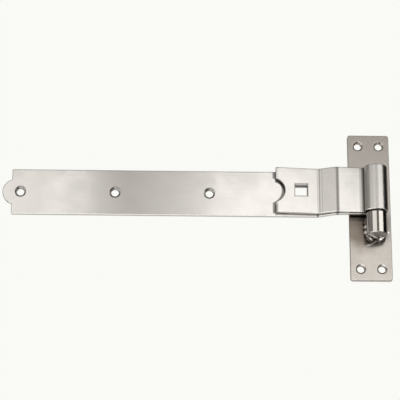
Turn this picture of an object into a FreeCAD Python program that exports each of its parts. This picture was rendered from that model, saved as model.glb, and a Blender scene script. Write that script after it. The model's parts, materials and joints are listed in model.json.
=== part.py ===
"""Hook and band hinge for a gate: a folded band that turns on the pin of a welded hook plate.

The origin is the centre of the hook plate's back face. +X runs away from the strap, +Y points into
the post and +Z points up along the pin. All sizes are in millimetres. The band is drawn shut, with
the back of its strap in the plane of the plate's back.
"""
import FreeCAD
import Part
import math
import os

Vec = FreeCAD.Vector
INTO_POST = Vec(0, 1, 0)
UP = Vec(0, 0, 1)
LENGTH_TOLERANCE = 1e-4

# Strip that the band is folded from
strip_width = 38.0
strip_thickness = 3.5
edge_break = 0.4

# Pin and the eye that turns on it
pin_diameter = 12.0
eye_clearance = 0.4
pin_right_of_plate_centre = 3.75
pin_before_wall = 15.2
band_above_plate_centre = 10.5

# Where the folds of the band lie, measured along the strap from the pin's axis
pin_to_tip = 300.0
upper_bend_from_pin = 31.4
strap_bend_from_pin = 46.0
lap_bend_from_pin = 45.0
lap_end_from_pin = 79.7

# How the two layers of the band stand to each other
strap_leg_before_eye_back = 1.8
leg_gap = 1.2
lap_gap = 1.75
lap_skew_deg = 2.0
lap_skew_radius = 200.0
crank_inside_radius = 4.5
neck_inside_radius = 0.75
eye_lead_in_radius = 5.0

# Tab at the tail and the matching notch at the lap's end, which one die cuts
tab_radius = 10.5
tab_reach = 7.5
tab_root_radius = 0.8
end_corner = 0.8

# Holes in the band
tip_to_first_screw = 14.5
strap_screw_pitch = 76.2
strap_screw_count = 3
strap_screw_hole = 6.2
strap_screw_sink = 9.0
bolt_square = 10.0
bolt_corner = 0.6
bolt_from_pin = 59.1
lap_cuts_above_screws = 1.8

# Hook plate
plate_width = 33.5
plate_height = 124.0
plate_thickness = 4.0
plate_corner = 2.0
plate_screw_hole = 6.0
plate_screw_sink = 8.4
plate_screws_across = 17.0
plate_screws_up = 105.0

# Turned pin: the boss, the collar that the eye rides on, and the chamfers
boss_diameter = 16.6
boss_length = 19.3
collar_diameter = 13.6
collar_height = 1.0
boss_chamfer = 0.5
pin_below_eye_top = 1.0
pin_chamfer = 1.2

# Weld between the boss and the plate
weld_ripple_radius = 3.4
weld_ripple_step = 0.6
weld_ripple_pitch = 4.4
weld_ripple_lean_deg = 27.0
weld_before_plate = 2.2
weld_off_axis = 6.2
weld_below_shoulder = 1.2
weld_below_boss = 0.6
weld_turn_radius = 3.8
weld_turn_deg = 55.0
weld_end_radius = 2.6
weld_root_width = 9.0

# Places that follow from the sizes above
pin_x = pin_right_of_plate_centre
pin_y = -pin_before_wall
band_bottom = band_above_plate_centre - strip_width / 2
band_top = band_above_plate_centre + strip_width / 2
boss_bottom = band_bottom - boss_length
eye_middle_radius = (pin_diameter + eye_clearance + strip_thickness) / 2
strap_h = strip_thickness / 2 - pin_before_wall
strap_leg_h = strap_leg_before_eye_back - eye_middle_radius
lap_leg_h = strap_leg_h + strip_thickness + leg_gap
lap_bend_h = strap_h + strip_thickness + lap_gap
neck_radius = neck_inside_radius + strip_thickness / 2
neck_reach = eye_middle_radius + neck_radius
lap_start_x = pin_x - math.sqrt(neck_reach ** 2 - (lap_leg_h + neck_radius) ** 2)
lap_skew = math.radians(lap_skew_deg)
lap_cuts_z = band_above_plate_centre + lap_cuts_above_screws


class StripPath:
    """Middle line of the folded strip, seen along the pin.

    x runs along the strap from the pin's axis, and h runs from that axis away from the wall. The
    path is a chain of straight runs and tangent bends, so the strip's two faces are its offsets.
    """

    def __init__(self, x, h, heading=0.0):
        self.x, self.h, self.heading = x, h, heading
        self.faces = {strip_thickness / 2: [], -strip_thickness / 2: []}

    def place(self, x, h):
        return Vec(pin_x + x, pin_y - h, band_bottom)

    def beside(self, offset, along=0.0):
        """Point to the left of the path by an offset, and ahead by a distance."""
        c, s = math.cos(self.heading), math.sin(self.heading)
        return self.place(self.x + along * c - offset * s, self.h + along * s + offset * c)

    def straight_to_x(self, x):
        length = (x - self.x) / math.cos(self.heading)
        for offset, edges in self.faces.items():
            edges.append(Part.LineSegment(self.beside(offset), self.beside(offset, length)).toShape())
        self.h += length * math.sin(self.heading)
        self.x = x

    def bend(self, radius, turn):
        """Turn left by an angle, or right if it is negative, at this middle radius."""
        side = math.copysign(1.0, turn)
        centre_x = self.x - side * radius * math.sin(self.heading)
        centre_h = self.h + side * radius * math.cos(self.heading)

        def on_arc(share, reach):
            angle = self.heading + turn * share - side * math.pi / 2
            return centre_x + reach * math.cos(angle), centre_h + reach * math.sin(angle)

        for offset, edges in self.faces.items():
            points = [self.place(*on_arc(share, radius - side * offset)) for share in (0, 0.5, 1)]
            edges.append(Part.Arc(*points).toShape())
        self.x, self.h = on_arc(1, radius)
        self.heading += turn

    def crank(self, corner_1_x, turn_1, corner_2_x, turn_2):
        """Two bends, with the corners of the unrounded middle line at the given places."""
        radius = crank_inside_radius + strip_thickness / 2
        for corner_x, turn in ((corner_1_x, turn_1), (corner_2_x, turn_2)):
            setback = radius * math.tan(abs(turn) / 2)
            self.straight_to_x(corner_x - setback * math.cos(self.heading))
            self.bend(radius, turn)

    def section(self):
        """Face between the two sides of the strip."""
        front, back = self.faces.values()
        caps = []
        for end, vertex in ((0, 0), (-1, 1)):
            points = [side[end].Vertexes[vertex].Point for side in (front, back)]
            caps.append(Part.LineSegment(*points).toShape())
        return Part.Face(Part.Wire(front + [caps[1]] + back[::-1] + [caps[0]]))


def lap_rise(x):
    """How far the skewed fold has lifted the lap at one x."""
    run = max(lap_start_x - x, 0)
    arc_run = lap_skew_radius * math.sin(lap_skew)
    if run < arc_run:
        return lap_skew_radius - math.sqrt(lap_skew_radius ** 2 - run ** 2)
    return lap_skew_radius * (1 - math.cos(lap_skew)) + (run - arc_run) * math.tan(lap_skew)


def lap_sides():
    """Prism between the lap's two sides, which leave the eye's level in a gentle arc and then slant."""
    front_y = -2 * pin_before_wall
    arc_end_x = lap_start_x - lap_skew_radius * math.sin(lap_skew)
    stops = [lap_start_x + strip_thickness, lap_start_x, (lap_start_x + arc_end_x) / 2, arc_end_x,
             pin_x - lap_end_from_pin - strip_thickness]

    def side(z):
        points = [Vec(x, front_y, z + lap_rise(x)) for x in stops]
        curves = [Part.LineSegment(*points[:2]), Part.Arc(*points[1:4]), Part.LineSegment(*points[3:])]
        return [c.toShape() for c in curves], points

    lower, lower_points = side(band_bottom)
    upper, upper_points = side(band_top)
    ends = [Part.LineSegment(lower_points[i], upper_points[i]).toShape() for i in (0, -1)]
    outline = Part.Wire(lower + [ends[1]] + upper[::-1] + [ends[0]])
    return Part.Face(outline).extrude(INTO_POST * 2 * pin_before_wall)


def folded_strip():
    """The strip as it is folded: strap, crank, eye, neck, crank and lap."""
    path = StripPath(-pin_to_tip - tab_reach, strap_h)
    strap_rise = math.atan2(strap_leg_h - strap_h, strap_bend_from_pin - upper_bend_from_pin)
    path.crank(-strap_bend_from_pin, strap_rise, -upper_bend_from_pin, -strap_rise)

    lead_in_reach = eye_middle_radius + eye_lead_in_radius
    lead_in = math.acos(1 - strap_leg_before_eye_back / lead_in_reach)
    path.straight_to_x(-lead_in_reach * math.sin(lead_in))
    path.bend(eye_lead_in_radius, -lead_in)

    eye_end = math.pi - math.asin((lap_leg_h + neck_radius) / neck_reach)
    path.bend(eye_middle_radius, eye_end + math.pi / 2 + lead_in)
    path.bend(neck_radius, math.pi / 2 - eye_end)
    strap_and_eye = path.section().extrude(UP * strip_width)

    lap_path = StripPath(path.x, path.h, path.heading)
    lap_drop = math.atan2(lap_leg_h - lap_bend_h, lap_bend_from_pin - upper_bend_from_pin)
    lap_path.crank(-upper_bend_from_pin, lap_drop, -lap_bend_from_pin, -lap_drop)
    lap_path.straight_to_x(-lap_end_from_pin)
    lap = lap_path.section().translate(UP * -strip_thickness).extrude(UP * 2 * strip_width)
    return strap_and_eye.fuse(lap.common(lap_sides()))


def screw_hole(x, z, front_y, depth, hole, sink):
    """Cutter for a countersunk hole through a sheet whose front face is at front_y."""
    sink_depth = (sink - hole) / 2
    through = Part.makeCylinder(hole / 2, depth, Vec(x, front_y, z), INTO_POST)
    countersink = Part.makeCone(sink / 2, hole / 2, sink_depth, Vec(x, front_y, z), INTO_POST)
    return through.fuse(countersink)


def block(x_from, x_to, y_from, y_to, z_from, z_to):
    return Part.makeBox(x_to - x_from, y_to - y_from, z_to - z_from, Vec(x_from, y_from, z_from))


def same(a, b):
    return math.isclose(a, b, abs_tol=LENGTH_TOLERANCE)


def runs_through(edge):
    """True for an edge along Y."""
    a, b = edge.Vertexes[0].Point, edge.Vertexes[-1].Point
    return same(a.x, b.x) and same(a.z, b.z) and not same(a.y, b.y)


def through_edges(shape, x):
    """Edges along Y at one x, where a shape's outline has a corner."""
    return [e for e in shape.Edges if runs_through(e) and same(e.Vertexes[0].X, x)]


def on_strip_side(edge):
    """True for an edge that lies in the upper or lower side of the strap and eye, or of the lap."""
    return any(all(same(v.Z, side) for v in edge.Vertexes)
               or all(same(v.Z, side + lap_rise(v.X)) for v in edge.Vertexes)
               for side in (band_bottom, band_top))


def tail_waste():
    """What the die takes off round the tab at the tail."""
    tip_x = pin_x - pin_to_tip
    shoulder_x = tip_x + tab_reach
    waste = block(tip_x - 2 * tab_reach, shoulder_x, -strip_thickness, 0, band_bottom, band_top)
    tab_centre = Vec(tip_x + tab_radius, -strip_thickness, band_above_plate_centre)
    waste = waste.cut(Part.makeCylinder(tab_radius, strip_thickness, tab_centre, INTO_POST))
    roots = [e for e in through_edges(waste, shoulder_x) if not on_strip_side(e)]
    return waste.makeFillet(tab_root_radius, roots)


def lap_waste():
    """The round notch in the lap's end. It stops in the gap, clear of the strap behind."""
    end_x = pin_x - lap_end_from_pin
    gap_middle_y = -strip_thickness - lap_gap / 2
    front_y = -2 * pin_before_wall
    centre = Vec(end_x + tab_reach - tab_radius, front_y, lap_cuts_z)
    notch = Part.makeCylinder(tab_radius, gap_middle_y - front_y, centre, INTO_POST)
    beyond = block(end_x - 2 * tab_radius, end_x, front_y, gap_middle_y, band_bottom, band_top)
    waste = beyond.fuse(notch)
    roots = [e for e in through_edges(waste, end_x) if not on_strip_side(e)]
    return waste.makeFillet(tab_root_radius, roots)


def bolt_hole():
    """Square hole through the lap and the strap."""
    half = bolt_square / 2
    x, z = pin_x - bolt_from_pin, lap_cuts_z
    hole = block(x - half, x + half, -2 * pin_before_wall, 0, z - half, z + half)
    corners = through_edges(hole, x - half) + through_edges(hole, x + half)
    return hole.makeFillet(bolt_corner, corners)


def make_band():
    band = folded_strip().cut(tail_waste()).cut(lap_waste())
    end_edges = through_edges(band, pin_x - pin_to_tip + tab_reach)
    end_edges += through_edges(band, pin_x - lap_end_from_pin)
    band = band.makeFillet(end_corner, [e for e in end_edges if on_strip_side(e)])
    side_edges = [e for e in band.Edges if on_strip_side(e) and not runs_through(e)]
    band = band.makeChamfer(edge_break, side_edges)
    band = band.cut(bolt_hole())
    for i in range(strap_screw_count):
        x = pin_x - pin_to_tip + tip_to_first_screw + i * strap_screw_pitch
        hole = screw_hole(x, band_above_plate_centre, -strip_thickness, strip_thickness,
                          strap_screw_hole, strap_screw_sink)
        band = band.cut(hole)
    return band


def make_hook_plate():
    plate = block(-plate_width / 2, plate_width / 2, -plate_thickness, 0, -plate_height / 2, plate_height / 2)
    corners = [e for e in plate.Edges if abs(e.tangentAt(e.FirstParameter).y) > 0.5]
    plate = plate.makeFillet(plate_corner, corners)
    front = [e for e in plate.Edges if max(v.Y for v in e.Vertexes) < -plate_thickness / 2]
    plate = plate.makeChamfer(edge_break, front)
    for side in (-1, 1):
        for level in (-1, 1):
            hole = screw_hole(side * plate_screws_across / 2, level * plate_screws_up / 2,
                              -plate_thickness, plate_thickness, plate_screw_hole, plate_screw_sink)
            plate = plate.cut(hole)
    return plate


def make_hook_pin():
    """Boss, collar and pin, turned in one piece about the pin's axis."""
    boss_r, collar_r, pin_r = boss_diameter / 2, collar_diameter / 2, pin_diameter / 2
    boss_top = band_bottom - collar_height
    pin_top = band_top - pin_below_eye_top
    outline = [
        (0, boss_bottom), (boss_r - boss_chamfer, boss_bottom), (boss_r, boss_bottom + boss_chamfer),
        (boss_r, boss_top - boss_chamfer), (boss_r - boss_chamfer, boss_top), (collar_r, boss_top),
        (collar_r, band_bottom), (pin_r, band_bottom),
        (pin_r, pin_top - pin_chamfer), (pin_r - pin_chamfer, pin_top), (0, pin_top),
    ]
    points = [Vec(pin_x + r, pin_y, z) for r, z in outline]
    return Part.Face(Part.makePolygon(points + points[:1])).revolve(Vec(pin_x, pin_y, 0), UP, 360)


def weld_ripple(x, z, heading, radius):
    """One ripple of the bead: a cone that widens along the run and leans out from the boss.

    The heading is 0 where the run goes down, and grows as it turns towards +X.
    """
    centre = Vec(x, -plate_thickness - weld_before_plate, z)
    from_boss = Vec(x - pin_x, centre.y - pin_y, 0).normalize()
    along = Vec(math.sin(heading), 0, -math.cos(heading))
    axis = (along + from_boss * math.tan(math.radians(weld_ripple_lean_deg))).normalize()
    length = weld_ripple_pitch + weld_ripple_step
    return Part.makeCone(radius - weld_ripple_step, radius, length, centre - axis * (length / 2), axis)


def make_weld_bead():
    """A rippled run down each side of the boss, the left one on round under it, over a root fill.

    Each run tapers to a smaller round end.
    """
    first_z = band_bottom - weld_below_shoulder - weld_ripple_radius
    turn_z = boss_bottom - weld_below_boss + weld_turn_radius
    straight = first_z - turn_z
    left_run = straight + weld_turn_radius * math.radians(weld_turn_deg)
    right_run = first_z - boss_bottom

    def on_run(side, travel):
        """Place and turned angle on one side's run, this far along it."""
        down = min(travel, straight)
        turned = (travel - down) / weld_turn_radius
        inward = weld_turn_radius * (1 - math.cos(turned))
        down += weld_turn_radius * math.sin(turned)
        return pin_x + side * (weld_off_axis - inward), first_z - down, turned

    ripples = []
    for side, run in ((-1, left_run), (1, right_run)):
        for i in range(1 + int(run / weld_ripple_pitch)):
            x, z, turned = on_run(side, i * weld_ripple_pitch)
            last = run - i * weld_ripple_pitch < weld_ripple_pitch
            radius = weld_end_radius if last else weld_ripple_radius
            ripples.append(weld_ripple(x, z, -side * turned, radius))
        x, z, turned = on_run(side, run)
        ripples.append(Part.makeSphere(weld_end_radius, Vec(x, -plate_thickness - weld_before_plate, z)))

    root = block(pin_x - weld_root_width / 2, pin_x + weld_root_width / 2, pin_y, -plate_thickness,
                 boss_bottom + boss_chamfer, first_z)
    boss_room = Part.makeCylinder(boss_diameter / 2, 2 * boss_length, Vec(pin_x, pin_y, boss_bottom), UP)
    reach = 2 * pin_before_wall
    plate_room = block(-reach, reach, -plate_thickness, reach, boss_bottom - reach, band_top)
    return root.multiFuse(ripples).cut(boss_room).cut(plate_room)


PARTS = {
    "band": make_band,
    "hook_plate": make_hook_plate,
    "hook_pin": make_hook_pin,
    "weld_bead": make_weld_bead,
}

os.makedirs("parts", exist_ok=True)
for name, make in PARTS.items():
    shape = make()
    print(name, "solids", len(shape.Solids), "valid", shape.isValid(), "volume", round(shape.Volume, 1))
    shape.exportStep("parts/" + name + ".step")
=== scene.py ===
"""Looks and stage for a hook and band gate hinge.

The packed model is the frame: the folded band, the screw-on hook plate, the turned pin and the weld
that joins them. This add-on gives each of them its steel finish and builds the studio around them.
All lengths are in metres, in the frame's own axes: +Z up along the pin and +Y into the post.
"""
import json
import math

import bpy
from mathutils import Matrix, Vector


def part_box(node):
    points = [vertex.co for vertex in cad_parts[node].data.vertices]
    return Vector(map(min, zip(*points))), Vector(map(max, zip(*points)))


bl_info = {
    "name": "Hook and band hinge",
    "version": (1, 0, 0),
    "blender": (4, 5, 0),
    "location": "View3D > Sidebar > Hinge",
    "description": "Steel finishes, studio and camera for a hook and band gate hinge",
    "category": "Object",
}

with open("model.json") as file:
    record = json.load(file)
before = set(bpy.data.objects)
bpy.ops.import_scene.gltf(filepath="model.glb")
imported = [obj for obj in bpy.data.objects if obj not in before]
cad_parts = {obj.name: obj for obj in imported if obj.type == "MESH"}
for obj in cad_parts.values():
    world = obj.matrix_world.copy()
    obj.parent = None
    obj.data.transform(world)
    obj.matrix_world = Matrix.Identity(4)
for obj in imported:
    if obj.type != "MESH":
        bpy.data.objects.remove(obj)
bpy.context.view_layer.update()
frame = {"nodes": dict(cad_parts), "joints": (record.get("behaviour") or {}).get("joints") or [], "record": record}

PIN_AXIS = Vector(frame["joints"][0]["pos_m"])
PIN_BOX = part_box("hook_pin")
BAND_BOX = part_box("band")
PLATE_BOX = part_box("hook_plate")
WELD_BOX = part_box("weld_bead")
MOUNTS = {mount["name"]: mount for mount in frame["record"]["mounts"]}
MM = 0.001

# Softboxes round the pin: first and last azimuth and elevation in degrees, and radiance.
# Azimuth 0 is straight in front of the plate, and it grows towards +X. The front row lights every piece
# but the turned pin, which has two softboxes of its own with a dark gap between them.
FRONT_ROW = (-28.0, 22.7)
UPPER_ROW = (FRONT_ROW[1], 45.0)
PIN_ROW = (FRONT_ROW[0], 40.0)
FRONT_SOFTBOXES = {
    "far_left_softbox": (-62.0, -26.0, *FRONT_ROW, 0.7),
    "left_softbox": (-26.0, -12.8, *FRONT_ROW, 0.96),
    "bright_softbox": (-12.8, -9.8, *FRONT_ROW, 1.13),
    "seam_softbox": (-9.8, -6.4, *FRONT_ROW, 0.38),
    "ramp_softbox": (-6.4, -3.1, *FRONT_ROW, 0.65),
    "middle_softbox": (-3.1, 4.0, *FRONT_ROW, 1.28),
    "plate_softbox": (4.0, 10.5, *FRONT_ROW, 1.25),
    "right_softbox": (10.5, 70.0, *FRONT_ROW, 1.29),
}
PIN_SOFTBOXES = {
    "pin_left_softbox": (-49.0, -4.0, *PIN_ROW, 1.24),
    "pin_right_softbox": (23.0, 69.0, *PIN_ROW, 1.68),
}
ROOM_SOFTBOXES = {
    "upper_left_softbox": (-62.0, -20.0, *UPPER_ROW, 0.12),
    "upper_middle_softbox": (-20.0, 30.0, *UPPER_ROW, 0.12),
    "upper_right_softbox": (30.0, 74.0, *UPPER_ROW, 0.25),
    "low_left_softbox": (-98.0, -60.0, -55.0, -4.0, 1.1),
    "back_softbox": (140.0, 220.0, -36.0, -6.0, 0.45),
    "left_back_softbox": (-150.0, -112.0, -5.0, 45.0, 0.35),
    "floor_softbox": (-80.0, 20.0, -86.0, -52.0, 1.8),
}
# Backdrop cards beside the softboxes, which the steel mirrors: azimuths, elevations and grey.
BACKDROP_CARDS = {
    "right_card": (75.0, 130.0, -25.0, 60.0, 0.005),
    "left_card": (-104.0, -66.0, -4.0, 60.0, 0.5),
}
CARD_DISTANCE = 1.0

# Axes that a distance is measured along: round the pin, or in a front face
ROUND_PIN = (1.0, 1.0, 0.0)
FRONT_FACE = (1.0, 0.0, 1.0)

# Bend lines across the lap and the raised flat, press marks with painted shade along their creases: X, half width
# and strength, and their run past the band
BEND_LINES_AND_SHADE = ((-0.0407, 0.0005, 0.4), (-0.0387, 0.0004, 0.25), (-0.0268, 0.0018, 0.6),
              (-0.0072, 0.0028, 0.35), (-0.0064, 0.0017, 0.55))
BEND_OVERRUN = 0.01

# Holes in the band: the square bolt hole with its rim, and the strap's countersinks with their painted shade
BOLT_HOLE = Vector(MOUNTS["square_bolt_hole"]["pos_m"])
BOLT_HALF = 0.005
BOLT_RIM = 0.0009
SINK_ROW = MOUNTS["strap_screws"]
SINK_STEP = Vector((SINK_ROW["dims"]["spacing_x_mm"] * MM / 2, 0.0, 0.0))
STRAP_SINKS = [Vector(SINK_ROW["pos_m"]) + i * SINK_STEP for i in (-1, 0, 1)]
SINK_RADIUS = 0.0045
SINK_SHADE_REACH = 0.0036

# The lap's end and its round notch, with the painted shadow of the lap on the strap beside them
LAP_END = -0.07595
NOTCH_RADIUS = 0.0105
NOTCH_DEPTH = 0.0075
NOTCH_RIM = 0.0001
NOTCH = Vector((LAP_END + NOTCH_DEPTH - NOTCH_RADIUS, 0.0, BOLT_HOLE.z))
LAP_SHADOW_SHIFT = Vector((0.0030, 0.0, -0.0012))
SHADOW_EDGE = 0.0016
SHADOW_SPAN = (0.009, 0.010)
SHADOW_FOOT = (0.003, 0.0015)

# Darker bands on the lap's face along its end: lower and upper Z and strength
LAP_DARK_BANDS = ((-0.015, 0.005, 0.6), (0.018, 0.038, 0.25))
DARK_BAND_REACH = 0.0024

# Other marks on the band: the dull eye by its distance from the pin's axis, the painted reflection down the eye,
# the dark tick under the lap, the painted shade on the raised flat between its two ends, and the fold's opening
DULL_EYE = (0.0098, 0.0112)
REFLECTION_HALF_LENGTH = 0.03
REFLECTION_HALF_WIDTH = 0.0014
DARK_TICK = (Vector((-0.042, 0.0, -0.0125)), Vector((-0.042, 0.0, -0.005)))
TICK_HALF_WIDTH = 0.0008
RAISED_LEFT = (-0.0265, -0.0285)
RAISED_RIGHT = (-0.0064, -0.0050)
SHADE_RUN = (-0.0275, -0.0095)
FOLD_RISE = (0.004, 0.006)
FOLD_RIGHT = (-0.042, -0.036)

# Depths along Y at which a mark is full and at which it has faded out
ON_EYE = (-0.0215, -0.0205)
ON_BOLT_RIM = (-0.0086, -0.0083)
ON_LAP = (-0.0072, -0.0062)
ON_NOTCH_WALL = (-0.0050, -0.0046)
BEHIND_LAP = (-0.0042, -0.0050)
BEFORE_STRAP = (-0.0040, -0.0046)
INSIDE_STRAP = (-0.0030, -0.0020)
IN_FRONT = (-0.0012, -0.0004)

# Marks by the weld: the ends of the bright streaks and their drop on the bead, the painted shade in crescents
# round the run's lower end, the plate's heat tint darkened into painted shade, the painted light on its lower
# end and its shade below the band, and the painted shade on the boss's lower end
BRIGHT_STREAKS = ((Vector((-0.0045, 0.0, -0.0331)), Vector((0.003, 0.0, -0.0315))),
           (Vector((-0.0006, 0.0, -0.0328)), Vector((0.0158, 0.0, -0.0207))))
STREAK_HALF_WIDTH = 0.001
STREAK_STRENGTH = 0.95
BEAD_DROP = 0.0015
CRESCENT_RISE = 0.0058
CRESCENT_RADII = (0.0070, 0.0089)
RUN_END = (0.0032, 0.0016)
HEAT_RISE = 0.004
HEAT_SQUASH = (1.0, 0.0, 0.75)
LIT_LOWER_END = (-0.040, PLATE_BOX[0].z)
BAND_SHADE = (-0.002, 0.006)
LOWER_END_SHADE = (0.0002, 0.0004)


class SheetFinish(bpy.types.PropertyGroup):
    """Satin rolled sheet of the band and the plate."""

    colour: bpy.props.FloatVectorProperty(
        name="Steel", description="Colour of the bare sheet", subtype="COLOR", size=3,
        min=0.0, max=1.0, default=(0.655, 0.636, 0.61))
    # Lighter colour of the rubbed edges with their painted highlight, and of the painted light on the plate's
    # lower end
    rubbed_and_lit_colour: bpy.props.FloatVectorProperty(
        name="Rubbed edge", description="Colour where the edges are rubbed bright", subtype="COLOR",
        size=3, min=0.0, max=1.0, default=(0.74, 0.715, 0.68))
    roughness: bpy.props.FloatProperty(
        name="Roughness", description="Mean roughness of the band's satin face", subtype="FACTOR",
        min=0.0, max=1.0, default=0.11)
    eye_roughness: bpy.props.FloatProperty(
        name="Eye roughness", description="Roughness of the sheet that was stretched round the eye",
        subtype="FACTOR", min=0.0, max=1.0, default=0.24)
    fold_roughness: bpy.props.FloatProperty(
        name="Fold roughness", description="Roughness inside the fold, which no polish reaches",
        subtype="FACTOR", min=0.0, max=1.0, default=0.8)
    plate_colour: bpy.props.FloatVectorProperty(
        name="Plate steel", description="Colour of the plate's duller sheet", subtype="COLOR", size=3,
        min=0.0, max=1.0, default=(0.452, 0.423, 0.388))
    plate_roughness: bpy.props.FloatProperty(
        name="Plate roughness", description="Mean roughness of the plate's face", subtype="FACTOR",
        min=0.0, max=1.0, default=0.21)
    # Dark colour of the painted shade in corners, beside the lap and below the band, and of the bend lines and
    # other dark marks
    shade_and_mark_colour: bpy.props.FloatVectorProperty(
        name="Grime", description="Colour of the grime in crevices and of bend lines", subtype="COLOR",
        size=3, min=0.0, max=1.0, default=(0.055, 0.05, 0.044))
    # Reach of the painted shade in the band's closed-in corners
    crevice_shade_reach: bpy.props.FloatProperty(
        name="Crevice reach", description="How far from a closed-in corner the grime spreads",
        unit="LENGTH", min=0.0, default=0.0035)
    grain_length: bpy.props.FloatProperty(
        name="Grain length", description="Length of a rolling streak", unit="LENGTH",
        min=0.001, default=0.045)
    grain_width: bpy.props.FloatProperty(
        name="Grain width", description="Width of a rolling streak", unit="LENGTH",
        min=0.0001, default=0.0007)
    # Width of the lighter line along an edge, partly rubbed and partly a painted highlight
    edge_rub_and_highlight: bpy.props.FloatProperty(
        name="Edge rub", description="Width of the rubbed line along an edge", unit="LENGTH",
        min=0.0, default=0.0005)


class PinFinish(bpy.types.PropertyGroup):
    """Bright turned steel of the boss and the pin."""

    colour: bpy.props.FloatVectorProperty(
        name="Steel", description="Colour of the turned steel", subtype="COLOR", size=3,
        min=0.0, max=1.0, default=(0.49, 0.467, 0.437))
    roughness: bpy.props.FloatProperty(
        name="Roughness", description="Mean roughness of the turned faces", subtype="FACTOR",
        min=0.0, max=1.0, default=0.11)
    feed: bpy.props.FloatProperty(
        name="Feed", description="Distance between two turning marks", unit="LENGTH",
        min=0.00005, default=0.00035)
    # Dark colour of the painted shade under the eye, by the weld and on the boss's lower end
    shade_and_mark_colour: bpy.props.FloatVectorProperty(
        name="Grime", description="Colour of the grime under the eye and by the weld", subtype="COLOR",
        size=3, min=0.0, max=1.0, default=(0.04, 0.036, 0.032))
    # Reach of the painted shade in the pin's closed-in corners
    crevice_shade_reach: bpy.props.FloatProperty(
        name="Crevice reach", description="How far from a closed-in corner the grime spreads",
        unit="LENGTH", min=0.0, default=0.004)


class WeldFinish(bpy.types.PropertyGroup):
    """Rippled weld with heat colours."""

    colour: bpy.props.FloatVectorProperty(
        name="Bead", description="Colour of the clean bead", subtype="COLOR", size=3,
        min=0.0, max=1.0, default=(0.72, 0.69, 0.65))
    # Dark oxide scale in the bead's valleys, and the painted shade under its ledges and round its lower end
    scale_and_shade_colour: bpy.props.FloatVectorProperty(
        name="Scale", description="Colour of the dark scale between the ripples", subtype="COLOR",
        size=3, min=0.0, max=1.0, default=(0.075, 0.062, 0.052))
    # Heat tint, dark enough on the plate to be painted shade as well
    heat_tint_and_shade_colour: bpy.props.FloatVectorProperty(
        name="Heat tint", description="Straw tint of the steel beside the weld", subtype="COLOR",
        size=3, min=0.0, max=1.0, default=(0.2, 0.165, 0.135))
    # Colour of the bright streaks over the weld and the plate
    streak_colour: bpy.props.FloatVectorProperty(
        name="Scrapes", description="Colour of the bright scrapes over the weld and the plate",
        subtype="COLOR", size=3, min=0.0, max=1.0, default=(0.95, 0.93, 0.9))
    # Reach of the heat tint, and of the painted shade in the plate's closed-in corners
    heat_reach: bpy.props.FloatProperty(
        name="Heat reach", description="How far the tint spreads from the weld", unit="LENGTH",
        min=0.0, default=0.016)
    ripple_pitch: bpy.props.FloatProperty(
        name="Ripple pitch", description="Distance between two ripples of the bead", unit="LENGTH",
        min=0.001, default=0.0044)
    first_ledge: bpy.props.FloatProperty(
        name="First ledge", description="Height of the lower end of the top ripple", unit="LENGTH",
        default=-0.0154)
    voxel: bpy.props.FloatProperty(
        name="Bead detail", description="Size of the bead's mesh cells", unit="LENGTH",
        min=0.0001, default=0.00025)


class StudioStage(bpy.types.PropertyGroup):
    """Floor, light and camera."""

    backdrop: bpy.props.FloatVectorProperty(
        name="Backdrop", description="Pale colour behind the hinge", subtype="COLOR", size=3,
        min=0.0, max=1.0, default=(0.955, 0.955, 0.92))
    floor_colour: bpy.props.FloatVectorProperty(
        name="Floor", description="Pale colour of the floor", subtype="COLOR", size=3,
        min=0.0, max=1.0, default=(0.9, 0.895, 0.875))
    floor_glow: bpy.props.FloatProperty(
        name="Floor glow", description="Light that lifts the floor to the backdrop's tone", min=0.0,
        default=0.68)
    floor_drop: bpy.props.FloatProperty(
        name="Floor drop", description="Height of the plate's centre above the floor", unit="LENGTH",
        min=0.5, default=1.75)
    room_colour: bpy.props.FloatVectorProperty(
        name="Room", description="Dim light from between the softboxes", subtype="COLOR", size=3,
        min=0.0, max=4.0, default=(0.27, 0.25, 0.225))
    ceiling_colour: bpy.props.FloatVectorProperty(
        name="Ceiling", description="Soft light from overhead", subtype="COLOR", size=3,
        min=0.0, max=4.0, default=(0.3, 0.295, 0.285))
    light_distance: bpy.props.FloatProperty(
        name="Light distance", description="Distance of the softboxes from the pin", unit="LENGTH",
        min=0.3, default=1.8)
    view_azimuth: bpy.props.FloatProperty(
        name="Azimuth", description="Camera's turn to the right of the plate's front",
        subtype="ANGLE", default=math.radians(-1.0))
    view_elevation: bpy.props.FloatProperty(
        name="Elevation", description="Camera's angle above the horizon", subtype="ANGLE",
        default=math.radians(-20.1))
    view_roll: bpy.props.FloatProperty(
        name="Roll", description="Camera's turn about its own axis", subtype="ANGLE",
        default=math.radians(0.26))
    view_distance: bpy.props.FloatProperty(
        name="Distance", description="From the camera to the point it looks at", unit="LENGTH",
        min=0.1, default=1.463)
    view_target: bpy.props.FloatVectorProperty(
        name="Target", description="Point that the camera looks at", subtype="XYZ", unit="LENGTH",
        size=3, default=(-0.13686, 0.0, 0.00585))
    focal_length: bpy.props.FloatProperty(
        name="Focal length", description="Lens of the camera in millimetres", min=10.0, default=162.9)


# Node helpers

def add_node(tree, kind, inputs=None, **settings):
    """Adds one node. An input is given a value, or another node's output to follow."""
    node = tree.nodes.new(kind)
    for name, value in settings.items():
        setattr(node, name, value)
    for name, value in (inputs or {}).items():
        socket = node.inputs[name]
        if isinstance(value, bpy.types.NodeSocket):
            tree.links.new(value, socket)
        else:
            socket.default_value = value
    return node


def scalar_math(tree, operation, *values):
    """Result of a math node."""
    return add_node(tree, "ShaderNodeMath", dict(enumerate(values)), operation=operation).outputs[0]


def vector_math(tree, operation, *values):
    """Result of a vector math node: a number for a length or a dot product, or else a vector."""
    made = add_node(tree, "ShaderNodeVectorMath", dict(enumerate(values)), operation=operation).outputs
    return made["Value"] if operation in ("LENGTH", "DOT_PRODUCT") else made["Vector"]


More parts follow.
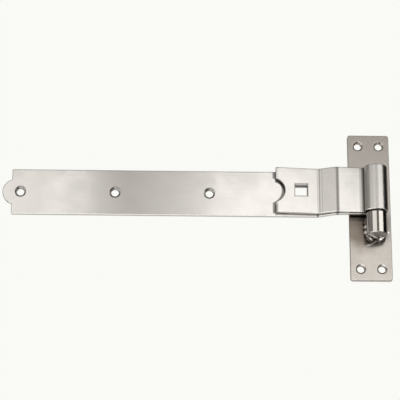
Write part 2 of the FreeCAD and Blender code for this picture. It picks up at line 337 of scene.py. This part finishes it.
def product(tree, first, *others):
    """Masks and strengths multiplied together."""
    for factor in others:
        first = scalar_math(tree, "MULTIPLY", first, factor)
    return first


def axes(tree, place):
    """The X, Y and Z of a place."""
    return add_node(tree, "ShaderNodeSeparateXYZ", {0: place}).outputs


def plane_distance(tree, place, middle, scales):
    """Distance from a middle, with each axis scaled. A scale of 0 leaves its axis out."""
    offset = vector_math(tree, "SUBTRACT", place, middle)
    return vector_math(tree, "LENGTH", vector_math(tree, "MULTIPLY", offset, scales))


def map_range(tree, value, from_range, to_range, smooth=False):
    """Value carried from one range to another, kept inside the second."""
    node = add_node(tree, "ShaderNodeMapRange", {
        "Value": value, "From Min": from_range[0], "From Max": from_range[1],
        "To Min": to_range[0], "To Max": to_range[1]})
    if smooth:
        node.interpolation_type = "SMOOTHSTEP"
    return node.outputs["Result"]


def fade(tree, value, ends, strength=1.0, smooth=False):
    """Mask that has its strength at the first end and nothing left at the second."""
    return map_range(tree, value, ends, (strength, 0.0), smooth)


def blend_numbers(tree, share, first, second):
    """Number between two numbers, each a value or an output."""
    return add_node(tree, "ShaderNodeMix", {0: share, 2: first, 3: second}).outputs[0]


def blend_colours(tree, share, first, second):
    """Colour between two colours, each a value or an output."""
    return add_node(tree, "ShaderNodeMix", {0: share, 6: first, 7: second}, data_type="RGBA").outputs[2]


def rgba(colour):
    return (*colour, 1.0)


def paint_marks(tree, colour, shares, paint):
    """Colour with one coat of paint over it for each share."""
    for share in shares:
        colour = blend_colours(tree, share, colour, rgba(paint))
    return colour


def new_group(name, inputs, outputs):
    """Empty shader group with float or vector sockets, and its two end nodes."""
    group = bpy.data.node_groups.new(name, "ShaderNodeTree")
    for label, kind in inputs:
        group.interface.new_socket(name=label, in_out="INPUT", socket_type=kind)
    for label, kind in outputs:
        group.interface.new_socket(name=label, in_out="OUTPUT", socket_type=kind)
    return group, group.nodes.new("NodeGroupInput").outputs, group.nodes.new("NodeGroupOutput").inputs


def use_group(tree, group, inputs):
    return add_node(tree, "ShaderNodeGroup", inputs, node_tree=group).outputs


# Effects that several finishes share

def rolled_grain_group():
    """Fine streaks of rolled sheet over soft cloudy patches."""
    group, given, made = new_group(
        "Rolled grain",
        [("Place", "NodeSocketVector"), ("Streaks", "NodeSocketVector"), ("Patches", "NodeSocketFloat")],
        [("Streak", "NodeSocketFloat"), ("Patch", "NodeSocketFloat")])
    stretched = vector_math(group, "MULTIPLY", given["Place"], given["Streaks"])
    streak = add_node(group, "ShaderNodeTexNoise", {
        "Vector": stretched, "Scale": 1.0, "Detail": 4.0, "Roughness": 0.62})
    patch = add_node(group, "ShaderNodeTexNoise", {
        "Vector": given["Place"], "Scale": given["Patches"], "Detail": 3.0, "Roughness": 0.55})
    group.links.new(map_range(group, streak.outputs[0], (0.3, 0.7), (0.0, 1.0)), made["Streak"])
    group.links.new(map_range(group, patch.outputs[0], (0.32, 0.68), (0.0, 1.0), True), made["Patch"])
    return group


def edge_rub_and_highlight_group():
    """Mask of the edges painted lighter, partly rubbed bright by handling and partly a painted highlight, and the
    normal that rounds them.
    """
    group, given, made = new_group(
        "Edge rub", [("Width", "NodeSocketFloat"), ("Normal", "NodeSocketVector")],
        [("Mask", "NodeSocketFloat"), ("Normal", "NodeSocketVector")])
    rounded = add_node(group, "ShaderNodeBevel", {
        "Radius": given["Width"], "Normal": given["Normal"]}, samples=6).outputs[0]
    facing = add_node(group, "ShaderNodeNewGeometry").outputs["Normal"]
    lined_up = vector_math(group, "DOT_PRODUCT", rounded, facing)
    group.links.new(map_range(group, lined_up, (0.995, 0.9), (0.0, 1.0)), made["Mask"])
    group.links.new(rounded, made["Normal"])
    return group


def heat_tint_and_shade_group():
    """Mask of the band round a point where welding leaves its tint and the plate gets painted shade, with a ragged
    outline.
    """
    group, given, made = new_group(
        "Heat tint",
        [("Place", "NodeSocketVector"), ("Centre", "NodeSocketVector"), ("Squash", "NodeSocketVector"),
         ("Reach", "NodeSocketFloat")],
        [("Mask", "NodeSocketFloat")])
    ragged = add_node(group, "ShaderNodeTexNoise", {
        "Vector": given["Place"], "Scale": 90.0, "Detail": 2.0})
    away = plane_distance(group, given["Place"], given["Centre"], given["Squash"])
    share = scalar_math(group, "DIVIDE", away, given["Reach"])
    fray = map_range(group, ragged.outputs[0], (0.3, 0.7), (-0.12, 0.12))
    frayed = scalar_math(group, "ADD", fray, share)
    group.links.new(fade(group, frayed, (0.55, 1.25), smooth=True), made["Mask"])
    return group


def crevice_shade_group():
    """Mask of painted shade in the corners that are closed in within a reach."""
    group, given, made = new_group(
        "Crevice shade", [("Reach", "NodeSocketFloat")], [("Mask", "NodeSocketFloat")])
    closed = add_node(group, "ShaderNodeAmbientOcclusion", {"Distance": given["Reach"]}, samples=8)
    group.links.new(fade(group, closed.outputs["AO"], (0.3, 0.9), smooth=True), made["Mask"])
    return group


def shared_groups():
    """The shared effects, built once and kept in the file by name."""
    makers = {"Rolled grain": rolled_grain_group, "Edge rub": edge_rub_and_highlight_group,
              "Heat tint": heat_tint_and_shade_group, "Crevice shade": crevice_shade_group}
    return {name: bpy.data.node_groups.get(name) or make() for name, make in makers.items()}


# Shapes of marks

def upright(x, foot, head):
    """Lower and upper end of an upright line across the band."""
    return Vector((x, 0.0, foot)), Vector((x, 0.0, head))


def stroke(tree, place, start, end, half_width):
    """Mask of a straight stroke across a front face, soft at its sides and ends."""
    along = (end - start).normalized()
    across = Vector((along.z, 0.0, -along.x))
    offset = vector_math(tree, "SUBTRACT", place, start)
    aside = scalar_math(tree, "ABSOLUTE", vector_math(tree, "DOT_PRODUCT", offset, across))
    run = vector_math(tree, "DOT_PRODUCT", offset, along)
    length, soft = (end - start).length, 3 * half_width
    begun = fade(tree, run, (soft, 0.0), smooth=True)
    left = fade(tree, run, (length - soft, length), smooth=True)
    wide = fade(tree, aside, (0.4 * half_width, half_width), smooth=True)
    return product(tree, wide, begun, left)


def square_outline(tree, place, middle, half_side, width):
    """Mask of a thin line round a square hole in a front face."""
    apart = axes(tree, vector_math(tree, "ABSOLUTE", vector_math(tree, "SUBTRACT", place, middle)))
    far = scalar_math(tree, "MAXIMUM", apart["X"], apart["Z"])
    return fade(tree, far, (half_side + 0.5 * width, half_side + width), smooth=True)


def round_spot(tree, place, middle, radius, rim=0.12):
    """Mask of a round spot in a front face, with a fading rim that is a share of its radius."""
    away = plane_distance(tree, place, middle, FRONT_FACE)
    return fade(tree, away, (radius, (1.0 + rim) * radius), smooth=True)


# Marks on the band, most of them painted shade: each the share of the dark colour in its place

def bend_marks_and_shade(tree, place, on_lap):
    """Lines of the bends across the lap and the raised flat: press marks with painted shade along their creases.
    """
    low, high = BAND_BOX
    marks = []
    for x, half_width, strength in BEND_LINES_AND_SHADE:
        line = stroke(tree, place, *upright(x, low.z - BEND_OVERRUN, high.z + BEND_OVERRUN), half_width)
        marks.append(product(tree, line, on_lap, strength))
    return marks


def lap_painted_shadow(tree, place, parts, strength=0.8):
    """Painted shadow of the lap on the strap's face beside the lap's end and in its notch."""
    moved = vector_math(tree, "ADD", place, LAP_SHADOW_SHIFT)
    reached = fade(tree, axes(tree, moved)["X"], (LAP_END + SHADOW_EDGE, LAP_END), smooth=True)
    outside = fade(tree, round_spot(tree, moved, NOTCH, NOTCH_RADIUS), (0.0, 1.0))
    near = fade(tree, parts["X"], [LAP_END + span for span in SHADOW_SPAN])
    above = fade(tree, parts["Z"], [BAND_BOX[0].z + rise for rise in SHADOW_FOOT])
    front = fade(tree, parts["Y"], BEFORE_STRAP)
    back = fade(tree, parts["Y"], INSIDE_STRAP)
    return product(tree, reached, outside, near, above, front, back, strength)


def lap_dark_bands(tree, place, on_lap):
    """Darker bands on the lap's own face, along its end."""
    return [product(tree, stroke(tree, place, *upright(LAP_END, foot, head), DARK_BAND_REACH), on_lap, strength)
            for foot, head, strength in LAP_DARK_BANDS]


def notch_wall_shade(tree, place, parts, strength=0.85):
    """Painted shade on the wall of the lap's notch, with a hair's width of its rim."""
    notch = round_spot(tree, place, NOTCH, NOTCH_RADIUS + NOTCH_RIM, rim=0.02)
    return product(tree, notch, fade(tree, parts["Y"], ON_NOTCH_WALL, strength))


def eye_painted_reflection(tree, place, parts, strength=0.26):
    """Painted dark reflection down the front of the eye."""
    foot, head = PIN_AXIS.z - REFLECTION_HALF_LENGTH, PIN_AXIS.z + REFLECTION_HALF_LENGTH
    seam = stroke(tree, place, *upright(PIN_AXIS.x, foot, head), REFLECTION_HALF_WIDTH)
    return product(tree, seam, fade(tree, parts["Y"], ON_EYE, strength))


def raised_flat_shade(tree, parts, on_lap, strengths=(0.06, 0.24)):
    """Painted shade on the raised flat, darker towards its top and the eye."""
    flat = product(tree, fade(tree, parts["X"], RAISED_LEFT), fade(tree, parts["X"], RAISED_RIGHT))
    rise = map_range(tree, parts["Z"], [corner.z for corner in BAND_BOX], (0.0, 1.0))
    lean = map_range(tree, parts["X"], SHADE_RUN, strengths, True)
    return product(tree, flat, on_lap, rise, lean)


def strap_dark_tick(tree, place, behind_lap, in_front, strength=0.9):
    """Dark upright tick in the strap's lower edge under the lap."""
    return product(tree, stroke(tree, place, *DARK_TICK, TICK_HALF_WIDTH), behind_lap, in_front, strength)


def bolt_hole_rim_and_shade(tree, place, parts, behind_lap, rim_strength=0.6, strap_strength=0.8):
    """Darker front rim of the square hole, and painted shade on its wall in the strap."""
    rim = fade(tree, parts["Y"], ON_BOLT_RIM, rim_strength)
    rim_and_shade = scalar_math(tree, "MAXIMUM", rim, product(tree, behind_lap, strap_strength))
    return product(tree, square_outline(tree, place, BOLT_HOLE, BOLT_HALF, BOLT_RIM), rim_and_shade)


def sink_shade(tree, place, parts, in_front):
    """Painted shade in the strap's countersinks, most in their upper halves."""
    row = STRAP_SINKS[0].z
    above = map_range(tree, parts["Z"], (row, row + SINK_SHADE_REACH), (0.05, 0.8))
    below = map_range(tree, parts["Z"], (row, row - SINK_SHADE_REACH), (0.0, 0.45))
    shade_share = scalar_math(tree, "ADD", above, below)
    return [product(tree, round_spot(tree, place, middle, SINK_RADIUS), in_front, shade_share)
            for middle in STRAP_SINKS]


def band_marks_and_shade(tree, place, parts):
    """Shares of the dark colour of all the marks and painted shade on the band."""
    on_lap = fade(tree, parts["Y"], ON_LAP)
    behind_lap = fade(tree, parts["Y"], BEHIND_LAP)
    in_front = fade(tree, parts["Y"], IN_FRONT)
    return [
        *bend_marks_and_shade(tree, place, on_lap),
        lap_painted_shadow(tree, place, parts),
        *lap_dark_bands(tree, place, on_lap),
        notch_wall_shade(tree, place, parts),
        eye_painted_reflection(tree, place, parts),
        raised_flat_shade(tree, parts, on_lap),
        strap_dark_tick(tree, place, behind_lap, in_front),
        bolt_hole_rim_and_shade(tree, place, parts, behind_lap),
        *sink_shade(tree, place, parts, in_front),
    ]


# Marks and painted shade by the weld

def bright_streak_masks(tree, place, drop=0.0):
    """Masks of the bright streaks, lowered by a drop."""
    down = Vector((0.0, 0.0, -drop))
    return [product(tree, stroke(tree, place, start + down, end + down, STREAK_HALF_WIDTH), STREAK_STRENGTH)
            for start, end in BRIGHT_STREAKS]


def weld_scale_and_shade(tree, place, finish):
    """Mask of the dark scale and painted shade: under each ripple's ledge, and in crescents round the run's lower
    end.
    """
    ledges_down = 10.0
    height = axes(tree, place)["Z"]
    last_ledge = finish.first_ledge - ledges_down * finish.ripple_pitch
    down = map_range(tree, height, (finish.first_ledge, last_ledge), (0.0, ledges_down))
    ledges = fade(tree, scalar_math(tree, "FRACT", down), (0.4, 0.6), 0.9, True)

    end = PIN_BOX[0].z
    away = plane_distance(tree, place, Vector((PIN_AXIS.x, 0.0, end + CRESCENT_RISE)), FRONT_FACE)
    wave = scalar_math(tree, "COSINE", map_range(tree, away, CRESCENT_RADII, (0.0, 2 * math.pi)))
    crescents = map_range(tree, wave, (-0.3, 0.5), (0.0, 0.95), True)
    ending = map_range(tree, height, [end + rise for rise in RUN_END], (0.0, 1.0), True)
    return blend_numbers(tree, ending, ledges, crescents)


# Finishes

def new_steel(name):
    """Material with a metal shader, and the place of each point in its piece's own frame."""
    material = bpy.data.materials.new(name)
    material.use_nodes = True
    tree = material.node_tree
    tree.nodes.clear()
    shader = add_node(tree, "ShaderNodeBsdfPrincipled", {"Metallic": 1.0})
    add_node(tree, "ShaderNodeOutputMaterial", {"Surface": shader.outputs[0]})
    place = add_node(tree, "ShaderNodeTexCoord").outputs["Object"]
    return material, tree, shader, place


def sheet_steel(name, finish, steel, satin, rolled_along):
    """Satin sheet with its rolling streaks along the given axes of the frame, and edges painted lighter: partly
    rubbed, partly a painted highlight.

    Returns the colour and the roughness as outputs, for the piece to add its marks to.
    """
    groups = shared_groups()
    material, tree, shader, place = new_steel(name)
    streaks = [1.0 / (finish.grain_length if axis in rolled_along else finish.grain_width) for axis in "XYZ"]
    grain = use_group(tree, groups["Rolled grain"], {"Place": place, "Streaks": streaks, "Patches": 55.0})
    bump = add_node(tree, "ShaderNodeBump", {
        "Height": grain["Streak"], "Strength": 0.05, "Distance": 0.0001})
    # Edges painted lighter, partly rubbed and partly a painted highlight
    rub = use_group(tree, groups["Edge rub"], {"Width": finish.edge_rub_and_highlight, "Normal": bump.outputs[0]})
    tree.links.new(rub["Normal"], shader.inputs["Normal"])

    streaked = blend_colours(tree, map_range(tree, grain["Streak"], (0.0, 1.0), (0.0, 0.5)),
                             rgba(steel), rgba([c * 0.9 for c in steel]))
    clouded = blend_colours(tree, map_range(tree, grain["Patch"], (0.0, 1.0), (0.0, 0.4)),
                            streaked, rgba([c * 0.93 for c in steel]))
    colour = blend_colours(tree, rub["Mask"], clouded, rgba(finish.rubbed_and_lit_colour))
    roughness = map_range(tree, grain["Patch"], (0.0, 1.0), (satin * 0.85, satin * 1.2))
    return material, tree, shader, place, colour, roughness


def turned_steel(finish):
    """Lathe-turned steel: rings round the boss and the pin, and on their ends."""
    groups = shared_groups()
    material, tree, shader, place = new_steel("Turned steel")
    height = axes(tree, place)["Z"]
    travel = scalar_math(tree, "ADD", plane_distance(tree, place, PIN_AXIS, ROUND_PIN), height)
    ring = scalar_math(tree, "SINE", product(tree, travel, 2 * math.pi / finish.feed))
    marks = add_node(tree, "ShaderNodeTexNoise", {
        "Scale": 1.0 / (4 * finish.feed), "Detail": 4.0, "W": travel}, noise_dimensions="1D")
    grain = use_group(tree, groups["Rolled grain"], {
        "Place": place, "Streaks": (60.0, 60.0, 2200.0), "Patches": 120.0})

    colour = blend_colours(tree, map_range(tree, marks.outputs[0], (0.3, 0.7), (0.0, 0.45)),
                           rgba(finish.colour), rgba([c * 0.86 for c in finish.colour]))
    # Painted shade in closed-in corners under the eye and by the weld, and on the boss's lower end, which faces
    # down
    crevice = use_group(tree, groups["Crevice shade"], {"Reach": finish.crevice_shade_reach})
    crevice_shade_share, end_shade_share = 0.85, 0.6
    end_shade = fade(tree, height, [PIN_BOX[0].z + rise for rise in LOWER_END_SHADE], end_shade_share)
    shaded_marks = [product(tree, crevice["Mask"], crevice_shade_share), end_shade]
    colour = paint_marks(tree, colour, shaded_marks, finish.shade_and_mark_colour)
    tree.links.new(colour, shader.inputs["Base Color"])
    low, high = finish.roughness * 0.8, finish.roughness * 1.35
    tree.links.new(map_range(tree, grain["Patch"], (0.0, 1.0), (low, high)), shader.inputs["Roughness"])
    bump = add_node(tree, "ShaderNodeBump", {"Height": ring, "Strength": 0.04, "Distance": 0.00005})
    tree.links.new(bump.outputs[0], shader.inputs["Normal"])
    return material


def weld_steel(finish):
    """Bead with fine ripples, dark oxide scale in its valleys, painted shade under its ledges and round its lower
    end, and a little straw tint.
    """
    groups = shared_groups()
    material, tree, shader, place = new_steel("Weld steel")
    ripple = add_node(tree, "ShaderNodeTexWave", {
        "Vector": place, "Scale": 280.0, "Distortion": 6.0, "Detail": 3.0, "Detail Scale": 1.5},
        wave_type="BANDS", bands_direction="Z", wave_profile="SAW")
    grain = use_group(tree, groups["Rolled grain"], {
        "Place": place, "Streaks": (900.0, 900.0, 900.0), "Patches": 420.0})
    sunk = add_node(tree, "ShaderNodeAmbientOcclusion", {"Distance": 0.0025}, samples=6)
    valleys = fade(tree, sunk.outputs["AO"], (0.35, 0.8), 0.9, True)
    # Dark oxide scale in the valleys, with the painted shade under the ledges and round the run's lower end
    scale = scalar_math(tree, "MAXIMUM", valleys, weld_scale_and_shade(tree, place, finish))

    tinted = blend_colours(tree, fade(tree, grain["Patch"], (0.0, 0.6), 0.45),
                           rgba(finish.colour), rgba(finish.heat_tint_and_shade_colour))
    colour = blend_colours(tree, scale, tinted, rgba(finish.scale_and_shade_colour))
    colour = paint_marks(tree, colour, bright_streak_masks(tree, place, BEAD_DROP), finish.streak_colour)
    tree.links.new(colour, shader.inputs["Base Color"])
    tree.links.new(map_range(tree, scale, (0.0, 1.0), (0.2, 0.5)), shader.inputs["Roughness"])
    bump = add_node(tree, "ShaderNodeBump", {
        "Height": ripple.outputs[1], "Strength": 0.35, "Distance": 0.0003})
    tree.links.new(bump.outputs[0], shader.inputs["Normal"])
    return material


def dress(node_name, material):
    """Gives a piece of the frame its finish."""
    for slot in frame["nodes"][node_name].material_slots:
        slot.material = material


class HINGE_OT_finish_band(bpy.types.Operator):
    """Give the folded band its satin finish, with rolling streaks along the strip"""

    bl_idname = "hinge.finish_band"
    bl_label = "Finish band"

    def execute(self, context):
        finish = context.scene.hinge_sheet
        material, tree, shader, place, colour, roughness = sheet_steel(
            "Band steel", finish, finish.colour, finish.roughness, "XY")
        parts = axes(tree, place)
        colour = paint_marks(tree, colour, band_marks_and_shade(tree, place, parts), finish.shade_and_mark_colour)

        # Painted shade in closed-in corners, faded out in the fold under the lap
        crevice = use_group(tree, shared_groups()["Crevice shade"], {"Reach": finish.crevice_shade_reach})["Mask"]
        fold_foot = fade(tree, parts["Z"], [BAND_BOX[0].z + rise for rise in FOLD_RISE])
        under_lap = product(tree, fold_foot, fade(tree, parts["X"], FOLD_RIGHT))
        crevice_shade_share = 0.75
        shaded_marks = product(tree, crevice, fade(tree, under_lap, (0.0, 1.0), crevice_shade_share))
        colour = paint_marks(tree, colour, [shaded_marks], finish.shade_and_mark_colour)
        tree.links.new(colour, shader.inputs["Base Color"])

        stretched = fade(tree, plane_distance(tree, place, PIN_AXIS, ROUND_PIN), DULL_EYE, smooth=True)
        roughness = blend_numbers(tree, stretched, roughness, finish.eye_roughness)
        in_fold = product(tree, crevice, under_lap)
        roughness = blend_numbers(tree, in_fold, roughness, finish.fold_roughness)
        tree.links.new(roughness, shader.inputs["Roughness"])
        dress("band", material)
        return {"FINISHED"}


class HINGE_OT_finish_plate(bpy.types.Operator):
    """Give the hook plate its satin finish, with heat tint and painted shade round the weld, painted light on its
    lower end and painted shade below the band
    """

    bl_idname = "hinge.finish_plate"
    bl_label = "Finish hook plate"

    def execute(self, context):
        finish, weld = context.scene.hinge_sheet, context.scene.hinge_weld
        material, tree, shader, place, colour, roughness = sheet_steel(
            "Plate steel", finish, finish.plate_colour, finish.plate_roughness, "Z")
        groups = shared_groups()
        parts = axes(tree, place)
        in_front = fade(tree, parts["Y"], IN_FRONT)
        back_share, front_share, lower_light_share, band_shade = 0.35, 0.95, 0.16, 0.85

        low, high = WELD_BOX
        middle = Vector((low.x, 0.0, (low.z + high.z) / 2 + HEAT_RISE))
        heat = use_group(tree, groups["Heat tint"], {
            "Place": place, "Centre": middle, "Squash": HEAT_SQUASH, "Reach": weld.heat_reach})
        # Heat tint, made dark enough to paint the shade beside the boss as well
        tint = product(tree, heat["Mask"], map_range(tree, in_front, (0.0, 1.0), (back_share, front_share)))
        colour = paint_marks(tree, colour, [tint], weld.heat_tint_and_shade_colour)

        # Painted light: the plate made lighter towards its lower end
        pale = map_range(tree, parts["Z"], LIT_LOWER_END, (0.0, lower_light_share))
        colour = paint_marks(tree, colour, [pale], finish.rubbed_and_lit_colour)
        closed = use_group(tree, groups["Crevice shade"], {"Reach": weld.heat_reach})
        below_band = fade(tree, parts["Z"], [BAND_BOX[0].z + rise for rise in BAND_SHADE], smooth=True)
        shade = product(tree, closed["Mask"], below_band, band_shade)
        colour = paint_marks(tree, colour, [shade], finish.shade_and_mark_colour)
        # Bright streaks over the plate
        scrapes = [product(tree, scrape, in_front) for scrape in bright_streak_masks(tree, place)]
        colour = paint_marks(tree, colour, scrapes, weld.streak_colour)
        tree.links.new(colour, shader.inputs["Base Color"])
        tree.links.new(roughness, shader.inputs["Roughness"])
        dress("hook_plate", material)
        return {"FINISHED"}


class HINGE_OT_finish_pin(bpy.types.Operator):
    """Give the boss and the pin their turned finish, with painted shade under the eye, by the weld and on the
    boss's lower end
    """

    bl_idname = "hinge.finish_pin"
    bl_label = "Finish pin"

    def execute(self, context):
        dress("hook_pin", turned_steel(context.scene.hinge_pin))
        return {"FINISHED"}


class HINGE_OT_finish_weld(bpy.types.Operator):
    """Melt the weld's ripples into each other and give it its scale, painted shade and heat colours"""

    bl_idname = "hinge.finish_weld"
    bl_label = "Finish weld"

    def execute(self, context):
        finish = context.scene.hinge_weld
        bead = frame["nodes"]["weld_bead"]
        cells = bead.modifiers.new("Bead cells", "REMESH")
        cells.mode = "VOXEL"
        cells.voxel_size = finish.voxel
        cells.use_smooth_shade = True
        melt = bead.modifiers.new("Melted ripples", "SMOOTH")
        melt.factor = 0.5
        melt.iterations = 10
        dress("weld_bead", weld_steel(finish))
        return {"FINISHED"}


# Studio

def towards(azimuth, elevation):
    """Direction at an azimuth and elevation in radians."""
    flat = math.cos(elevation)
    return Vector((math.sin(azimuth) * flat, -math.cos(azimuth) * flat, math.sin(elevation)))


def panel_place(azimuths, elevations, distance):
    """World matrix, width and height of a panel that faces the pin and fills these angles."""
    direction = towards(math.radians(sum(azimuths) / 2), math.radians(sum(elevations) / 2))
    place = PIN_AXIS + direction * distance
    turn = (-direction).to_track_quat("-Z", "Y")
    width = 2 * distance * math.tan(math.radians(azimuths[1] - azimuths[0]) / 2)
    height = 2 * distance * math.tan(math.radians(elevations[1] - elevations[0]) / 2)
    return Matrix.LocRotScale(place, turn, None), width, height


def add_object(name, data):
    made = bpy.data.objects.new(name, data)
    bpy.context.scene.collection.objects.link(made)
    return made


def add_softbox(name, azimuths, elevations, radiance, distance):
    """Area light whose face has the given radiance."""
    matrix, width, height = panel_place(azimuths, elevations, distance)
    light = bpy.data.lights.new(name, "AREA")
    light.shape = "RECTANGLE"
    light.size, light.size_y = width, height
    light.energy = radiance * math.pi * width * height
    made = add_object(name, light)
    made.matrix_world = matrix
    made.visible_camera = False
    return made


def light_receivers(name, piece, state):
    """Collection that holds a light to one piece of the frame, or to all but that piece."""
    receivers = bpy.data.collections.new(name)
    receivers.objects.link(frame["nodes"][piece])
    receivers.collection_objects[0].light_linking.link_state = state
    return receivers


def plain_material(name, colour, roughness):
    """Matt paint with a faint cloudy tone."""
    material = bpy.data.materials.new(name)
    material.use_nodes = True
    tree = material.node_tree
    shader = tree.nodes["Principled BSDF"]
    cloud = add_node(tree, "ShaderNodeTexNoise", {
        "Vector": add_node(tree, "ShaderNodeTexCoord").outputs["Object"], "Scale": 3.0, "Detail": 4.0})
    tone = blend_colours(tree, cloud.outputs[0], rgba(colour), rgba([c * 0.98 for c in colour]))
    tree.links.new(tone, shader.inputs["Base Color"])
    shader.inputs["Roughness"].default_value = roughness
    shader.inputs["Specular IOR Level"].default_value = 0.1
    return material


def add_sheet(name, corners, material):
    """Flat stage piece with the given corners."""
    mesh = bpy.data.meshes.new(name)
    mesh.from_pydata(corners, [], [range(len(corners))])
    mesh.materials.append(material)
    made = add_object(name, mesh)
    return made


def add_card(name, azimuths, elevations, grey):
    """Card that only reflections see."""
    matrix, width, height = panel_place(azimuths, elevations, CARD_DISTANCE)
    corners = [(x * width / 2, y * height / 2, 0.0) for x, y in ((-1, -1), (1, -1), (1, 1), (-1, 1))]
    card = add_sheet(name, corners, plain_material(name, (grey, grey, grey), 1.0))
    card.matrix_world = matrix
    card.visible_camera = False
    card.visible_shadow = False
    return card


def add_floor(stage):
    """Large round floor, far below the hinge and as pale as the backdrop to the camera."""
    radius, sides = 20.0, 96
    spokes = [2 * math.pi * i / sides for i in range(sides)]
    corners = [(radius * math.cos(a), radius * math.sin(a), -stage.floor_drop) for a in spokes]
    paint = plain_material("Studio floor", stage.floor_colour, 0.9)
    tree = paint.node_tree
    shader = tree.nodes["Principled BSDF"]
    seen = add_node(tree, "ShaderNodeLightPath").outputs["Is Camera Ray"]
    shader.inputs["Emission Color"].default_value = rgba(stage.backdrop)
    tree.links.new(product(tree, seen, stage.floor_glow), shader.inputs["Emission Strength"])
    return add_sheet("studio_floor", corners, paint)


def build_room(stage):
    """Pale backdrop to the camera, and a dim room with a soft ceiling to the hinge."""
    world = bpy.data.worlds.new("Studio room")
    bpy.context.scene.world = world
    world.use_nodes = True
    tree = world.node_tree
    tree.nodes.clear()
    direction = add_node(tree, "ShaderNodeTexCoord").outputs["Generated"]
    overhead = map_range(tree, axes(tree, direction)["Z"], (0.72, 0.95), (0.0, 1.0), True)
    light = blend_colours(tree, overhead, rgba(stage.room_colour), rgba(stage.ceiling_colour))
    room = add_node(tree, "ShaderNodeBackground", {"Color": light})
    backdrop = add_node(tree, "ShaderNodeBackground", {"Color": rgba(stage.backdrop)})
    seen = add_node(tree, "ShaderNodeLightPath").outputs["Is Camera Ray"]
    mixed = add_node(tree, "ShaderNodeMixShader", {0: seen, 1: room.outputs[0], 2: backdrop.outputs[0]})
    add_node(tree, "ShaderNodeOutputWorld", {"Surface": mixed.outputs[0]})


def add_camera(stage):
    """Camera at the viewing angle of the picture, which is square."""
    back = towards(stage.view_azimuth, stage.view_elevation)
    lens = bpy.data.cameras.new("camera")
    lens.lens = stage.focal_length
    lens.clip_end = 100.0
    camera = add_object("camera", lens)
    turn = (-back).to_track_quat("-Z", "Y").to_matrix() @ Matrix.Rotation(stage.view_roll, 3, "Z")
    place = Vector(stage.view_target) + back * stage.view_distance
    camera.matrix_world = Matrix.Translation(place) @ turn.to_4x4()
    bpy.context.scene.camera = camera


class HINGE_OT_build_stage(bpy.types.Operator):
    """Build the pale floor, the soft studio light and the camera"""

    bl_idname = "hinge.build_stage"
    bl_label = "Build stage"

    def execute(self, context):
        stage = context.scene.hinge_stage
        context.scene.view_settings.view_transform = "Standard"
        build_room(stage)
        add_floor(stage)
        all_but_pin = light_receivers("All but the pin", "hook_pin", "EXCLUDE")
        pin_alone = light_receivers("Pin alone", "hook_pin", "INCLUDE")
        for row, receivers in ((FRONT_SOFTBOXES, all_but_pin), (PIN_SOFTBOXES, pin_alone),
                               (ROOM_SOFTBOXES, None)):
            for name, (left, right, low, high, radiance) in row.items():
                light = add_softbox(name, (left, right), (low, high), radiance, stage.light_distance)
                light.light_linking.receiver_collection = receivers
        for name, (left, right, low, high, grey) in BACKDROP_CARDS.items():
            add_card(name, (left, right), (low, high), grey)
        add_camera(stage)
        return {"FINISHED"}


class HINGE_PT_sidebar(bpy.types.Panel):
    """Steps of the hinge and the sizes and colours that they use"""

    bl_idname = "HINGE_PT_sidebar"
    bl_label = "Hook and band hinge"
    bl_space_type = "VIEW_3D"
    bl_region_type = "UI"
    bl_category = "Hinge"

    def draw(self, context):
        for operator in OPERATORS:
            self.layout.operator(operator.bl_idname)
        for name, settings in SETTINGS.items():
            box = self.layout.box()
            box.label(text=settings.__doc__)
            for field in settings.__annotations__:
                box.prop(getattr(context.scene, name), field)


SETTINGS = {
    "hinge_sheet": SheetFinish,
    "hinge_pin": PinFinish,
    "hinge_weld": WeldFinish,
    "hinge_stage": StudioStage,
}
OPERATORS = (HINGE_OT_finish_band, HINGE_OT_finish_plate, HINGE_OT_finish_pin, HINGE_OT_finish_weld,
             HINGE_OT_build_stage)


def register():
    for cls in (*SETTINGS.values(), *OPERATORS, HINGE_PT_sidebar):
        bpy.utils.register_class(cls)
    for name, settings in SETTINGS.items():
        setattr(bpy.types.Scene, name, bpy.props.PointerProperty(type=settings))


def unregister():
    for name in SETTINGS:
        delattr(bpy.types.Scene, name)
    for cls in (HINGE_PT_sidebar, *reversed(OPERATORS), *reversed(SETTINGS.values())):
        bpy.utils.unregister_class(cls)


def main():
    register()
    bpy.ops.hinge.finish_band()
    bpy.ops.hinge.finish_plate()
    bpy.ops.hinge.finish_pin()
    bpy.ops.hinge.finish_weld()
    bpy.ops.hinge.build_stage()


if __name__ == "__main__":
    main()
